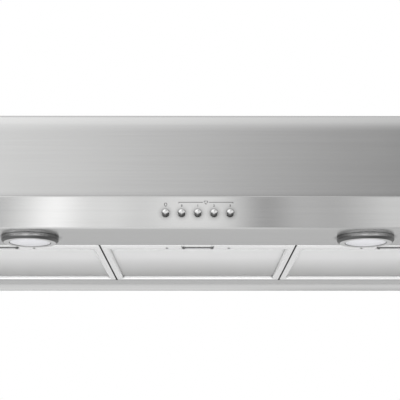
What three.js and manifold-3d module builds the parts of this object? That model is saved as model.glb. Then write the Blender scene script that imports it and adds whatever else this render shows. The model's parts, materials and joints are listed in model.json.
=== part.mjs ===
// Under-cabinet range hood, 36-inch class, in brushed stainless steel.
// Millimetres. X runs to the viewer's right, -Y is the front, +Z is up.
// The origin lies on the top face that is screwed to the cabinet, over the middle of the depth.
import * as THREE from 'three';
import { mergeVertices } from 'three/addons/utils/BufferGeometryUtils.js';
import Module from 'manifold-3d';

const wasm = await Module();
wasm.setup();

// ---- Driving dimensions ----
const WIDTH = 914;
const DEPTH = 559;
const HEIGHT = 178;
const SHEET = 1.2;            // all folded sheet
const GAP = 0.4;              // clearance between touching parts
const INSET = SHEET + GAP;    // how far inside the casing a sheet part stops
const SEAT = 0.3;             // clearance under a flange or screw head
const REACH = 5;              // how far a cutting shape passes through a sheet on each side

const SIDE = WIDTH / 2;
const FRONT = -DEPTH / 2;
const BACK = DEPTH / 2;
const TOP = 0;
const UNDER = -HEIGHT;
const THROUGH_TOP = [TOP - REACH, TOP + REACH];

// Front panel
const BAND = 45;              // upright control band
const LEDGE = 3.2;            // step between the band and the panel above it
const LEAN = 36;              // how far the upper panel leans back
const ROLL_RADIUS = 45;       // rolled top edge
const TOP_FLANGE = 60;
const STRIP = 128;            // underside strip with the lamps
const STRIP_FLANGE = 22;
const LEDGE_BEND = 1.2;
const BAND_BEND = 2;
const STRIP_BEND = 1.6;

// Filters
const FILTER_PITCH = 289;
const FILTER_GAP = 2;
const FILTER_WIDTH = FILTER_PITCH - FILTER_GAP;
const FILTER_DEPTH = 346;
const FILTER_HEIGHT = 12;
const FILTER_FRONT = FRONT + STRIP + 1;
const FILTER_REAR = FILTER_FRONT + FILTER_DEPTH;
const RIM = 10;
const RECESS = 6;             // how deep the filter's face lies above its rim
const MESH_THICKNESS = 3;
const LEDGE_WIDTH = 6;
const LATCH_WIDTH = 46;
const LATCH_PIN_RADIUS = 2.2;
const FRONT_BAND = 34;        // plain band along the filter's front edge, which carries the latch
const BAND_THICKNESS = 2.5;
const LATCH_SLOT_FRONT = 2;
const LATCH_SLOT_REAR = 28;
const LATCH_CURL = 18.5;      // where the latch plate curls up, behind the filter's front edge
const LATCH_CURL_HEIGHT = 6;
const POCKET_WALL = 5;        // metal round the latch's slot
const LATCH_PIN_DROP = 2.2;   // how far the pins stand out below
const WIRE_RADIUS = 0.9;      // pull wire between the latch's pins
const TAB_WIDTH = 24;
const TAB_THICKNESS = 2;
const TAB_REACH = 9;
const TAB_OFFSET = 70;
const FRAME_CORNER = 4;
const RIVET_OFFSET = 46;
const RIVET_PLACE = 22;       // behind the filter's front edge
const RIVET_RADIUS = 1.6;
const RIVET_DROP = 1.2;
const REAR_RAIL_FRONT = FILTER_REAR + FILTER_GAP;
const REAR_LIP = 8;           // lip that hangs below the underside at the wall
const SIDE_FLANGE = (WIDTH - 3 * FILTER_PITCH) / 2 - 1;

// Lamps
const LAMP_X = 235.5;
const LAMP_Y = FRONT + STRIP / 2;
const BEZEL_RADIUS = 40;
const BEZEL_DROP = 8.4;
const BEZEL_LIP = 8;          // drop of the bezel's inner edge
const BEZEL_SHOULDER = 7;
const BEZEL_BORE = 28.6;
const BEZEL_NECK = 31.4;
const LAMP_HOLE = 32;
const LENS_RADIUS = 28.1;
const LENS_RIM_DROP = 7.8;
const LENS_DROP = 11.2;
const LENS_WALL = 2;
const CAN_RADIUS = 33.7;
const CAN_HEIGHT = 60;
const CAN_FLANGE = 5;
const SOCKET_HOLE = 8;
const BULB_NECK = 45;         // height of the bulb's neck above the underside

// Buttons
const BUTTON_COUNT = 5;
const BUTTON_PITCH = 21.8;
const BUTTON_RADIUS = 5;
const BUTTON_COLLAR_RADIUS = 6.5;
const BUTTON_STEM_RADIUS = 3.5;
const BUTTON_Z = UNDER + 21;
const DOME_BASE = 3;          // where the button's dome begins, in front of the band
const DOME_HEIGHT = 4;
const COLLAR_FRONT = -1.8;
const COLLAR_BACK = -3.2;
const STEM_END = -8;
const WELL_RADIUS = 7.2;      // well in the housing for a button's collar
const WELL_DEPTH = 8;
const SWITCH_HALF_WIDTH = 58;
const SWITCH_HALF_HEIGHT = 15;
const SWITCH_DEPTH = 15;
const BOARD_THICKNESS = 1.6;
const CONTACT_RADIUS = 3.2;
const CONTACT_FRONT = 11.6;

// Blower: a scroll round a wheel on an axle along X, blowing up into the duct
const DUCT_WIDTH = 254;
const DUCT_DEPTH = 83;
const COLLAR_HEIGHT = 28;
const COLLAR_FLANGE = 15;
const AXLE_Y = BACK - 129.5;
const AXLE_Z = UNDER + 98;
const SCROLL_TONGUE = 58;     // scroll radius at the cut-off
const SCROLL_REAR = 85;       // scroll radius where it turns up into the duct
const DUCT_Y = AXLE_Y + SCROLL_REAR - DUCT_DEPTH / 2;
const PLATE_X = DUCT_WIDTH / 2;
const INLET_RADIUS = 42;
const WHEEL_RADIUS = 52;
const WHEEL_HALF_LENGTH = 100;
const BLADE_COUNT = 20;
const BLADE_DEPTH = 8;
const SHAFT_RADIUS = 4;
const MOTOR_RADIUS = 45;
const MOTOR_FRONT = -158;
const MOTOR_REAR = -222;
const HUB_RADIUS = 12;
const BLADE_THICKNESS = 1.2;
const BLADE_TILT = Math.PI / 6;
const STRAP = [-200, -182];   // the motor's strap, along X
const STRAP_REACH = 58;       // how far the strap's arms stand out from the axle
const PLATE_WING = 14;        // flange of a blower plate under the top panel
const WING_SCREW = 7;         // from the plate to the screws in its flange
const DAMPER_PIVOT_Y = DUCT_Y + 36;
const DAMPER_PIVOT_Z = TOP + 6.5;
const DAMPER_PIN_RADIUS = 1.4;
const DAMPER_PIN_HOLE = 1.8;
const KNUCKLE_RADIUS = 3.4;
const FLAP_CLEARANCE = 2.2;

// Wiring
const GLAND_X = -310;
const GLAND_Y = 160;
const BOX_HALF_WIDTH = 55;
const BOX_HALF_DEPTH = 40;
const BOX_FLOOR = -42;
const GLAND_HOLE = 11.3;
const SCREW_RADIUS = 1.8;
const SCREW_HOLE = 2.2;
const SCREW_HEAD_RADIUS = 4;
const SCREW_HEAD_HEIGHT = 2.7;

// ---- Materials ----
const metal = (color, roughness) => new THREE.MeshStandardMaterial({ color, roughness, metalness: 1 });
const plain = (color, roughness) => new THREE.MeshStandardMaterial({ color, roughness, metalness: 0 });
const FINISH = {
  steel: metal(0xb9b9b9, 0.38),
  filter: metal(0xc9c9c9, 0.42),
  zinc: metal(0x9fa3a6, 0.5),
  chrome: metal(0xd8d8da, 0.12),
  castAluminium: metal(0x8c8f92, 0.6),
  lens: plain(0xf0f2f6, 0.45),
  bulb: plain(0xe8e8ea, 0.2),
  ceramic: plain(0xe9e4da, 0.7),
  blackPlastic: plain(0x1d1e20, 0.5),
  board: plain(0x2f5b3c, 0.5),
};

const hood = new THREE.Group();
hood.name = 'range_hood';

const addPart = (name, geometry, finish) => {
  const mesh = new THREE.Mesh(geometry, finish.clone());
  mesh.name = name;
  hood.add(mesh);
};

// ---- Solid helpers ----
const toManifold = (geometry) => {
  const bare = geometry.clone();
  bare.deleteAttribute('normal');
  bare.deleteAttribute('uv');
  const merged = mergeVertices(bare, 1e-4);
  return new wasm.Manifold(new wasm.Mesh({
    numProp: 3,
    vertProperties: new Float32Array(merged.attributes.position.array),
    triVerts: new Uint32Array(merged.index.array),
  }));
};

// Joins the added shapes into one solid and takes the cut shapes out of it
const solid = (added, cuts = []) => {
  let body = toManifold(added[0]);
  for (const shape of added.slice(1)) body = body.add(toManifold(shape));
  for (const shape of cuts) body = body.subtract(toManifold(shape));
  const mesh = body.getMesh();
  const geometry = new THREE.BufferGeometry();
  geometry.setAttribute('position', new THREE.BufferAttribute(mesh.vertProperties, 3));
  geometry.setIndex(new THREE.BufferAttribute(mesh.triVerts, 1));
  geometry.computeVertexNormals();
  return geometry;
};

// The two ends of a length, lower end first
const span = (a, b) => [Math.min(a, b), Math.max(a, b)];

const box = ([x0, x1], [y0, y1], [z0, z1]) => new THREE.BoxGeometry(x1 - x0, y1 - y0, z1 - z0)
  .translate((x0 + x1) / 2, (y0 + y1) / 2, (z0 + z1) / 2);

const rodX = (radius, [x0, x1], y, z, sides = 32) => new THREE
  .CylinderGeometry(radius, radius, x1 - x0, sides)
  .rotateZ(Math.PI / 2).translate((x0 + x1) / 2, y, z);

const rodY = (radius, x, [y0, y1], z, sides = 32) => new THREE
  .CylinderGeometry(radius, radius, y1 - y0, sides)
  .translate(x, (y0 + y1) / 2, z);

const rodZ = (radius, x, y, [z0, z1], sides = 32) => new THREE
  .CylinderGeometry(radius, radius, z1 - z0, sides)
  .rotateX(Math.PI / 2).translate(x, y, (z0 + z1) / 2);

// A profile of [radius, height] points turned about an upright axis
const turned = (profile, x, y, sides = 28) => {
  const points = profile.map(([radius, height]) => new THREE.Vector2(radius, height));
  return new THREE.LatheGeometry(points, sides).rotateX(Math.PI / 2).translate(x, y, 0);
};

// A shape drawn in (y, z) and drawn out along X
const alongX = (shape, [x0, x1]) => {
  const turn = new THREE.Matrix4().makeBasis(
    new THREE.Vector3(0, 1, 0),
    new THREE.Vector3(0, 0, 1),
    new THREE.Vector3(1, 0, 0),
  );
  return new THREE.ExtrudeGeometry(shape, { depth: x1 - x0, bevelEnabled: false })
    .applyMatrix4(turn).translate(x0, 0, 0);
};

// A shape drawn in (x, y) and drawn out along Z
const alongZ = (shape, [z0, z1]) => new THREE.ExtrudeGeometry(
  shape,
  { depth: z1 - z0, bevelEnabled: false, curveSegments: 3 },
).translate(0, 0, z0);

const roundedRectangle = (x, y, halfWidth, halfDepth, radius) => {
  const shape = new THREE.Shape();
  const right = x + halfWidth - radius;
  const left = x - halfWidth + radius;
  const far = y + halfDepth - radius;
  const near = y - halfDepth + radius;
  shape.absarc(right, far, radius, 0, Math.PI / 2);
  shape.absarc(left, far, radius, Math.PI / 2, Math.PI);
  shape.absarc(left, near, radius, Math.PI, 1.5 * Math.PI);
  shape.absarc(right, near, radius, 1.5 * Math.PI, 2 * Math.PI);
  return shape;
};

// A path through corners [u, v, bend radius], with the bends as arcs
const foldedPath = (corners) => {
  const bendStep = Math.PI / 14;
  const points = [];
  corners.forEach(([u, v, radius = 0], i) => {
    const corner = new THREE.Vector2(u, v);
    if (!radius) {
      points.push(corner);
      return;
    }
    const back = new THREE.Vector2(corners[i - 1][0] - u, corners[i - 1][1] - v).normalize();
    const ahead = new THREE.Vector2(corners[i + 1][0] - u, corners[i + 1][1] - v).normalize();
    const halfAngle = Math.acos(back.dot(ahead)) / 2;
    const middle = back.clone().add(ahead).normalize();
    const centre = corner.clone().addScaledVector(middle, radius / Math.sin(halfAngle));
    const start = corner.clone().addScaledVector(back, radius / Math.tan(halfAngle));
    const turn = Math.PI - 2 * halfAngle;
    const sense = Math.sign(ahead.cross(back));
    const steps = Math.max(2, Math.ceil(turn / bendStep));
    for (let k = 0; k <= steps; k += 1) {
      points.push(start.clone().rotateAround(centre, (sense * turn * k) / steps));
    }
  });
  return points;
};

// The same path moved to its left-hand side
const offsetPath = (path, distance) => path.map((point, i) => {
  const normals = [];
  if (i > 0) normals.push(point.clone().sub(path[i - 1]));
  if (i < path.length - 1) normals.push(path[i + 1].clone().sub(point));
  const [first, last] = [normals[0], normals[normals.length - 1]]
    .map((step) => new THREE.Vector2(-step.y, step.x).normalize());
  const mitre = first.clone().add(last).multiplyScalar(distance / (1 + first.dot(last)));
  return point.clone().add(mitre);
});

const sheetShape = (path, thickness) => new THREE.Shape([
  ...path,
  ...offsetPath(path, thickness).reverse(),
]);

// ---- Casing ----
const frontPath = foldedPath([
  [FRONT + LEAN + TOP_FLANGE, TOP],
  [FRONT + LEAN, TOP, ROLL_RADIUS],
  [FRONT + LEDGE, UNDER + BAND, LEDGE_BEND],
  [FRONT, UNDER + BAND, BAND_BEND],
  [FRONT, UNDER, STRIP_BEND],
  [FRONT + STRIP, UNDER, BAND_BEND],
  [FRONT + STRIP, UNDER + STRIP_FLANGE],
]);

const buttonXs = Array.from({ length: BUTTON_COUNT }, (_, i) => (i - (BUTTON_COUNT - 1) / 2) * BUTTON_PITCH);

const addFrontPanel = () => {
  const sheet = alongX(sheetShape(frontPath, SHEET), [-SIDE, SIDE]);
  const throughBand = [FRONT - REACH, FRONT + REACH];
  const throughStrip = [UNDER - REACH, UNDER + REACH];
  const buttonHoles = buttonXs.map((x) => rodY(BUTTON_RADIUS + GAP, x, throughBand, BUTTON_Z, 20));
  const lampHoles = [-LAMP_X, LAMP_X].map((x) => rodZ(LAMP_HOLE, x, LAMP_Y, throughStrip, 28));
  // Room for the side panels' walls behind the flange at the strip's rear edge
  const cornerNotches = [-1, 1].map((side) => box(
    span(side * (SIDE - INSET), side * (SIDE + 1)),
    [FRONT + STRIP - 4, FRONT + STRIP + 1],
    [UNDER + INSET, UNDER + STRIP_FLANGE + 1],
  ));
  addPart('front_panel', solid([sheet], [...buttonHoles, ...lampHoles, ...cornerNotches]), FINISH.steel);
};

const addSidePanel = (name, side) => {
  const inner = offsetPath(frontPath, INSET);
  const lipEnd = inner.findIndex((point) => point.y < UNDER + INSET + 0.01);
  const outline = new THREE.Shape([
    ...inner.slice(0, lipEnd + 1),
    new THREE.Vector2(FRONT + STRIP + GAP, UNDER + INSET),
    new THREE.Vector2(FRONT + STRIP + GAP, UNDER),
    new THREE.Vector2(BACK - INSET, UNDER),
    new THREE.Vector2(BACK - INSET, TOP - INSET),
  ]);
  const wall = alongX(outline, span(side * (SIDE - SHEET), side * SIDE));
  const flange = box(
    span(side * (SIDE - SIDE_FLANGE), side * SIDE),
    [FRONT + STRIP + GAP, BACK - INSET],
    [UNDER, UNDER + SHEET],
  );
  addPart(name, solid([wall, flange]), FINISH.steel);
};

const TOP_PANEL_FRONT = FRONT + LEAN + TOP_FLANGE + GAP;

// Keyholes in the top panel, by which the hood hangs on the cabinet's screws
const KEYHOLE_RADIUS = 5;
const KEYHOLE_SLOT = 2.6;
const KEYHOLE_LENGTH = 14;
const keyhole = (x, y) => [
  rodZ(KEYHOLE_RADIUS, x, y, THROUGH_TOP, 20),
  box([x - KEYHOLE_SLOT, x + KEYHOLE_SLOT], [y - KEYHOLE_LENGTH, y], THROUGH_TOP),
];

const BLOWER_SCREWS = [-1, 1].flatMap((side) => [-30, 30].map(
  (offset) => [side * (PLATE_X + WING_SCREW), DUCT_Y + offset],
));

const addTopPanel = () => {
  const plate = box([-SIDE, SIDE], [TOP_PANEL_FRONT, BACK], [TOP - SHEET, TOP]);
  const edge = 2;
  const duct = box(
    [-DUCT_WIDTH / 2 + edge, DUCT_WIDTH / 2 - edge],
    [DUCT_Y - DUCT_DEPTH / 2 + edge, DUCT_Y + DUCT_DEPTH / 2 - edge],
    THROUGH_TOP,
  );
  const cable = rodZ(GLAND_HOLE, GLAND_X, GLAND_Y, THROUGH_TOP);
  const hangerXs = [-SIDE + 60, SIDE - 60];
  const hangerYs = [TOP_PANEL_FRONT + 50, BACK - 50];
  const hangers = hangerXs.flatMap((x) => hangerYs.flatMap((y) => keyhole(x, y)));
  const screws = BLOWER_SCREWS.map(([x, y]) => rodZ(SCREW_HOLE, x, y, THROUGH_TOP, 12));
  addPart('top_panel', solid([plate], [duct, cable, ...hangers, ...screws]), FINISH.steel);
};

// Rectangular exit for a duct straight through the wall, closed by a plate inside
const REAR_EXIT_Z = -60;

const addBackPanel = () => {
  const plate = box([-SIDE, SIDE], [BACK - SHEET, BACK], [UNDER - REAR_LIP, TOP - INSET]);
  const exit = box(
    [-DUCT_WIDTH / 2, DUCT_WIDTH / 2],
    [BACK - REACH, BACK + REACH],
    [REAR_EXIT_Z - DUCT_DEPTH / 2, REAR_EXIT_Z + DUCT_DEPTH / 2],
  );
  addPart('back_panel', solid([plate], [exit]), FINISH.zinc);
  const overlap = 10;
  addPart('rear_blanking_plate', box(
    [-DUCT_WIDTH / 2 - overlap, DUCT_WIDTH / 2 + overlap],
    [BACK - INSET - SHEET, BACK - INSET],
    [REAR_EXIT_Z - DUCT_DEPTH / 2 - overlap, REAR_EXIT_Z + DUCT_DEPTH / 2 + overlap],
  ), FINISH.zinc);
};

// Underside strip at the wall, on which the filters' tabs rest
const addRearRail = () => {
  const lipFoot = BACK - INSET - 4;
  const lipSlope = 14;
  const path = foldedPath([
    [REAR_RAIL_FRONT, UNDER],
    [lipFoot - lipSlope, UNDER, 50],
    [lipFoot, UNDER - REAR_LIP],
  ]);
  const ends = [-SIDE + SIDE_FLANGE + GAP, SIDE - SIDE_FLANGE - GAP];
  addPart('rear_rail', alongX(sheetShape(path, SHEET), ends), FINISH.steel);
};

// Rail above the joint between two filters, with a foot on the rear rail
const addFilterRail = (name, x) => {
  const halfWidth = 7;
  const height = 8;
  const rear = FILTER_REAR + 30;
  const footDepth = 16;
  const bottom = UNDER + FILTER_HEIGHT + 1;
  const xs = [x - halfWidth, x + halfWidth];
  const bar = box(xs, [FRONT + STRIP + GAP, rear], [bottom, bottom + height]);
  const foot = box(xs, [rear - footDepth, rear], [UNDER + INSET, bottom + 1]);
  const channel = box(
    [xs[0] + SHEET, xs[1] - SHEET],
    [FRONT + STRIP, rear - footDepth - 2],
    [bottom + SHEET, bottom + height + 1],
  );
  addPart(name, solid([bar, foot], [channel]), FINISH.zinc);
};

// ---- Filters ----
const filterRing = (x, inset, rim, [z0, z1]) => {
  const y = FILTER_FRONT + FILTER_DEPTH / 2;
  const halfWidth = FILTER_WIDTH / 2 - inset;
  const halfDepth = FILTER_DEPTH / 2 - inset;
  const shape = roundedRectangle(x, y, halfWidth, halfDepth, FRAME_CORNER);
  shape.holes.push(roundedRectangle(x, y, halfWidth - rim, halfDepth - rim, 2));
  return alongZ(shape, [z0, z1]);
};

const addFilterFrame = (name, x) => {
  const pocket = [x - LATCH_WIDTH / 2 - POCKET_WALL, x + LATCH_WIDTH / 2 + POCKET_WALL];
  const ledgeLevel = [UNDER + RECESS + MESH_THICKNESS + GAP, UNDER + FILTER_HEIGHT];
  const bandDepth = [FILTER_FRONT + 3, FILTER_FRONT + FRONT_BAND];
  const halfWidth = FILTER_WIDTH / 2 - 3;
  const parts = [
    filterRing(x, 0, RIM, [UNDER, UNDER + FILTER_HEIGHT]),
    filterRing(x, 1, RIM + LEDGE_WIDTH - 1, ledgeLevel),
    box([x - halfWidth, x + halfWidth], bandDepth, [UNDER, UNDER + BAND_THICKNESS]),
    box(pocket, bandDepth, [UNDER, UNDER + FILTER_HEIGHT]),
    ...[-1, 1].map((side) => box(
      [x + side * TAB_OFFSET - TAB_WIDTH / 2, x + side * TAB_OFFSET + TAB_WIDTH / 2],
      [FILTER_REAR - 3, FILTER_REAR + TAB_REACH],
      [UNDER + INSET, UNDER + INSET + TAB_THICKNESS],
    )),
    ...[-1, 1].map((side) => rodZ(
      RIVET_RADIUS,
      x + side * RIVET_OFFSET,
      FILTER_FRONT + RIVET_PLACE,
      [UNDER - RIVET_DROP, UNDER + 2],
      16,
    )),
  ];
  const slotMiddle = FILTER_FRONT + (LATCH_SLOT_FRONT + LATCH_SLOT_REAR) / 2;
  const slotHalfDepth = (LATCH_SLOT_REAR - LATCH_SLOT_FRONT) / 2;
  const slot = alongZ(
    roundedRectangle(x, slotMiddle, LATCH_WIDTH / 2 + 1, slotHalfDepth, 1),
    [UNDER - 1, UNDER + FILTER_HEIGHT + 1],
  );
  addPart(name, solid(parts, [slot]), FINISH.filter);
};

// The face of the filter: two columns of long openings with bars between them
const addFilterMesh = (name, x) => {
  const halfWidth = FILTER_WIDTH / 2 - RIM - GAP;
  const near = FILTER_FRONT + FRONT_BAND + GAP;
  const far = FILTER_REAR - RIM - GAP;
  const level = [UNDER + RECESS, UNDER + RECESS + MESH_THICKNESS];
  const through = [UNDER, UNDER + FILTER_HEIGHT];
  const plate = alongZ(roundedRectangle(x, (near + far) / 2, halfWidth, (far - near) / 2, 2), level);
  const columns = 2;
  const rows = 10;
  const margin = 12;
  const halfBar = 3;
  const columnPitch = (2 * halfWidth - 2 * margin) / columns;
  const firstRow = near + margin;
  const rowPitch = (far - margin - firstRow) / rows;
  const openings = [];
  for (let column = 0; column < columns; column += 1) {
    const left = x - halfWidth + margin + column * columnPitch;
    for (let row = 0; row < rows; row += 1) {
      const start = firstRow + row * rowPitch;
      const width = [left + halfBar, left + columnPitch - halfBar];
      openings.push(box(width, [start, start + rowPitch / 2], through));
    }
  }
  addPart(name, solid([plate], openings), FINISH.filter);
};

// Sprung latch: a flush plate curled up at its rear edge, with a pin at each end and a pull wire between them
const addFilterLatch = (name, x) => {
  const level = UNDER + 0.1;
  const path = foldedPath([
    [FILTER_FRONT + LATCH_SLOT_FRONT + GAP, level],
    [FILTER_FRONT + LATCH_CURL - 2, level, 1.6],
    [FILTER_FRONT + LATCH_CURL, UNDER + LATCH_CURL_HEIGHT],
  ]);
  const plate = alongX(sheetShape(path, SHEET), [x - LATCH_WIDTH / 2, x + LATCH_WIDTH / 2]);
  const pinY = FILTER_FRONT + LATCH_CURL + 1;
  const pinXs = [-1, 1].map((side) => x + side * (LATCH_WIDTH / 2 - LATCH_PIN_RADIUS));
  const pins = pinXs.map((pinX) => rodZ(
    LATCH_PIN_RADIUS,
    pinX,
    pinY,
    [UNDER - LATCH_PIN_DROP, UNDER + LATCH_CURL_HEIGHT],
    16,
  ));
  const wire = rodX(WIRE_RADIUS, pinXs, pinY, UNDER, 12);
  addPart(name, solid([plate, ...pins, wire]), FINISH.filter);
};

// ---- Lamps ----
const arcPoints = (rimRadius, rimDrop, height, steps) => {
  const radius = (rimRadius ** 2 + height ** 2) / (2 * height);
  const rimAngle = Math.asin(rimRadius / radius);
  return Array.from({ length: steps + 1 }, (_, i) => {
    const angle = (rimAngle * i) / steps;
    return [radius * Math.sin(angle), UNDER - rimDrop - height + radius * (1 - Math.cos(angle))];
  });
};

const addLamp = (side, x) => {
  addPart(`lamp_bezel_${side}`, turned([
    [BEZEL_BORE, UNDER - BEZEL_LIP],
    [BEZEL_BORE + 0.8, UNDER - BEZEL_DROP],
    [BEZEL_RADIUS - 4.6, UNDER - BEZEL_DROP],
    [BEZEL_RADIUS - 1.4, UNDER - BEZEL_SHOULDER],
    [BEZEL_RADIUS, UNDER - 4.2],
    [BEZEL_RADIUS, UNDER - SEAT],
    [BEZEL_NECK, UNDER - SEAT],
    [BEZEL_NECK, UNDER + 6],
    [BEZEL_BORE, UNDER + 6],
    [BEZEL_BORE, UNDER - BEZEL_LIP],
  ], x, LAMP_Y), FINISH.chrome);

  const domeHeight = LENS_DROP - LENS_RIM_DROP;
  const outside = arcPoints(LENS_RADIUS, LENS_RIM_DROP, domeHeight, 4);
  const inside = arcPoints(LENS_RADIUS - LENS_WALL, LENS_RIM_DROP - LENS_WALL, domeHeight, 4).reverse();
  const lens = [...outside, [LENS_RADIUS, UNDER + 2], [LENS_RADIUS - LENS_WALL, UNDER + 2], ...inside];
  addPart(`lamp_lens_${side}`, turned(lens, x, LAMP_Y), FINISH.lens);

  const canBottom = UNDER + INSET;
  const canTop = UNDER + CAN_HEIGHT;
  addPart(`lamp_housing_${side}`, turned([
    [CAN_RADIUS - SHEET, canBottom],
    [CAN_RADIUS + CAN_FLANGE, canBottom],
    [CAN_RADIUS + CAN_FLANGE, canBottom + SHEET],
    [CAN_RADIUS, canBottom + SHEET],
    [CAN_RADIUS, canTop + SHEET],
    [SOCKET_HOLE, canTop + SHEET],
    [SOCKET_HOLE, canTop],
    [CAN_RADIUS - SHEET, canTop],
    [CAN_RADIUS - SHEET, canBottom],
  ], x, LAMP_Y), FINISH.zinc);

  addPart(`lamp_bulb_${side}`, turned([
    [0, UNDER + 8],
    [24, UNDER + 8],
    [25, UNDER + 11],
    [20, UNDER + 24],
    [9, UNDER + 36],
    [9, UNDER + BULB_NECK],
    [0, UNDER + BULB_NECK],
  ], x, LAMP_Y, 20), FINISH.bulb);

  const socketTop = canTop + SHEET + 5;
  addPart(`lamp_socket_${side}`, turned([
    [0, UNDER + BULB_NECK + GAP],
    [12, UNDER + BULB_NECK + GAP],
    [12, canTop - GAP],
    [SOCKET_HOLE - 1, canTop - GAP],
    [SOCKET_HOLE - 1, socketTop],
    [0, socketTop],
  ], x, LAMP_Y, 16), FINISH.ceramic);
};

// ---- Controls ----
const addButton = (name, x) => {
  const domeSteps = 4;
  const dome = Array.from({ length: domeSteps + 1 }, (_, i) => {
    const angle = (Math.PI / 2) * (i / domeSteps);
    return [BUTTON_RADIUS * Math.cos(angle), DOME_BASE + DOME_HEIGHT * Math.sin(angle)];
  });
  dome[domeSteps][0] = 0;
  const profile = [
    [0, STEM_END],
    [BUTTON_STEM_RADIUS, STEM_END],
    [BUTTON_STEM_RADIUS, COLLAR_BACK],
    [BUTTON_COLLAR_RADIUS, COLLAR_BACK],
    [BUTTON_COLLAR_RADIUS, COLLAR_FRONT],
    [BUTTON_RADIUS, COLLAR_FRONT],
    ...dome,
  ];
  const points = profile.map(([radius, out]) => new THREE.Vector2(radius, out));
  const geometry = new THREE.LatheGeometry(points, 20).rotateX(Math.PI).translate(x, FRONT, BUTTON_Z);
  addPart(name, geometry, FINISH.chrome);
};

const addSwitches = () => {
  const face = FRONT + INSET;
  const rear = FRONT + SWITCH_DEPTH;
  const housing = box(
    [-SWITCH_HALF_WIDTH, SWITCH_HALF_WIDTH],
    [face, rear],
    [BUTTON_Z - SWITCH_HALF_HEIGHT, BUTTON_Z + SWITCH_HALF_HEIGHT],
  );
  const bores = buttonXs.flatMap((x) => [
    rodY(WELL_RADIUS, x, [face - 1, FRONT + WELL_DEPTH], BUTTON_Z, 20),
    rodY(BUTTON_STEM_RADIUS + 0.6, x, [face - 1, rear + 1], BUTTON_Z, 16),
  ]);
  addPart('switch_housing', solid([housing], bores), FINISH.blackPlastic);

  const board = box(
    [-SWITCH_HALF_WIDTH + 2, SWITCH_HALF_WIDTH - 2],
    [rear + GAP, rear + GAP + BOARD_THICKNESS],
    [BUTTON_Z - SWITCH_HALF_HEIGHT + 1, BUTTON_Z + SWITCH_HALF_HEIGHT - 1],
  );
  const contacts = buttonXs.map(
    (x) => rodY(CONTACT_RADIUS, x, [FRONT + CONTACT_FRONT, rear + 1], BUTTON_Z, 16),
  );
  addPart('control_board', solid([board, ...contacts]), FINISH.board);

  buttonXs.forEach((x, i) => addButton(`button_${i + 1}`, x));
};

// ---- Duct and damper ----
const addDuctCollar = () => {
  const halfWidth = DUCT_WIDTH / 2;
  const front = DUCT_Y - DUCT_DEPTH / 2;
  const rear = DUCT_Y + DUCT_DEPTH / 2;
  const level = [TOP + SEAT, TOP + SEAT + SHEET];
  const tube = box([-halfWidth, halfWidth], [front, rear], [level[0], COLLAR_HEIGHT]);
  const flange = box(
    [-halfWidth - COLLAR_FLANGE, halfWidth + COLLAR_FLANGE],
    [front - COLLAR_FLANGE, rear + COLLAR_FLANGE],
    level,
  );
  const hollow = box(
    [-halfWidth + SHEET, halfWidth - SHEET],
    [front + SHEET, rear - SHEET],
    [TOP - REACH, COLLAR_HEIGHT + REACH],
  );
  // Ledge on which the free edge of the flap rests
  const stop = box([-halfWidth + 1, halfWidth - 1], [front + 1, front + 4.5], [TOP + 3, TOP + 5]);
  const pinEnds = [-halfWidth - REACH, halfWidth + REACH];
  const pinHole = rodX(DAMPER_PIN_HOLE, pinEnds, DAMPER_PIVOT_Y, DAMPER_PIVOT_Z, 16);
  const open = solid([tube, flange], [hollow]);
  addPart('duct_collar', solid([open, stop], [pinHole]), FINISH.zinc);

  const pin = rodX(DAMPER_PIN_RADIUS, [-halfWidth - 2, halfWidth + 2], DAMPER_PIVOT_Y, DAMPER_PIVOT_Z, 16);
  addPart('damper_pin', pin, FINISH.zinc);

  const flapEnds = [-halfWidth + FLAP_CLEARANCE, halfWidth - FLAP_CLEARANCE];
  const leafLevel = [TOP + 5.6, TOP + 5.6 + SHEET];
  const leaf = box(flapEnds, [front + FLAP_CLEARANCE, DAMPER_PIVOT_Y - 1], leafLevel);
  const knuckle = rodX(KNUCKLE_RADIUS, flapEnds, DAMPER_PIVOT_Y, DAMPER_PIVOT_Z, 20);
  const bore = rodX(DAMPER_PIN_RADIUS + 0.5, [-halfWidth, halfWidth], DAMPER_PIVOT_Y, DAMPER_PIVOT_Z, 16);
  addPart('damper_flap', solid([leaf, knuckle], [bore]), FINISH.zinc);
};

// ---- Blower ----
const scrollPath = () => {
  const ceiling = TOP - INSET;
  const steps = 30;
  const spiral = Array.from({ length: steps + 1 }, (_, i) => {
    const angle = Math.PI / 2 + 1.5 * Math.PI * (i / steps);
    const radius = SCROLL_TONGUE + (SCROLL_REAR - SCROLL_TONGUE) * (i / steps);
    return new THREE.Vector2(AXLE_Y + radius * Math.cos(angle), AXLE_Z + radius * Math.sin(angle));
  });
  spiral[0].x = AXLE_Y + SCROLL_REAR - DUCT_DEPTH;
  return [
    new THREE.Vector2(spiral[0].x, ceiling),
    ...spiral,
    new THREE.Vector2(AXLE_Y + SCROLL_REAR, ceiling),
  ];
};

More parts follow.
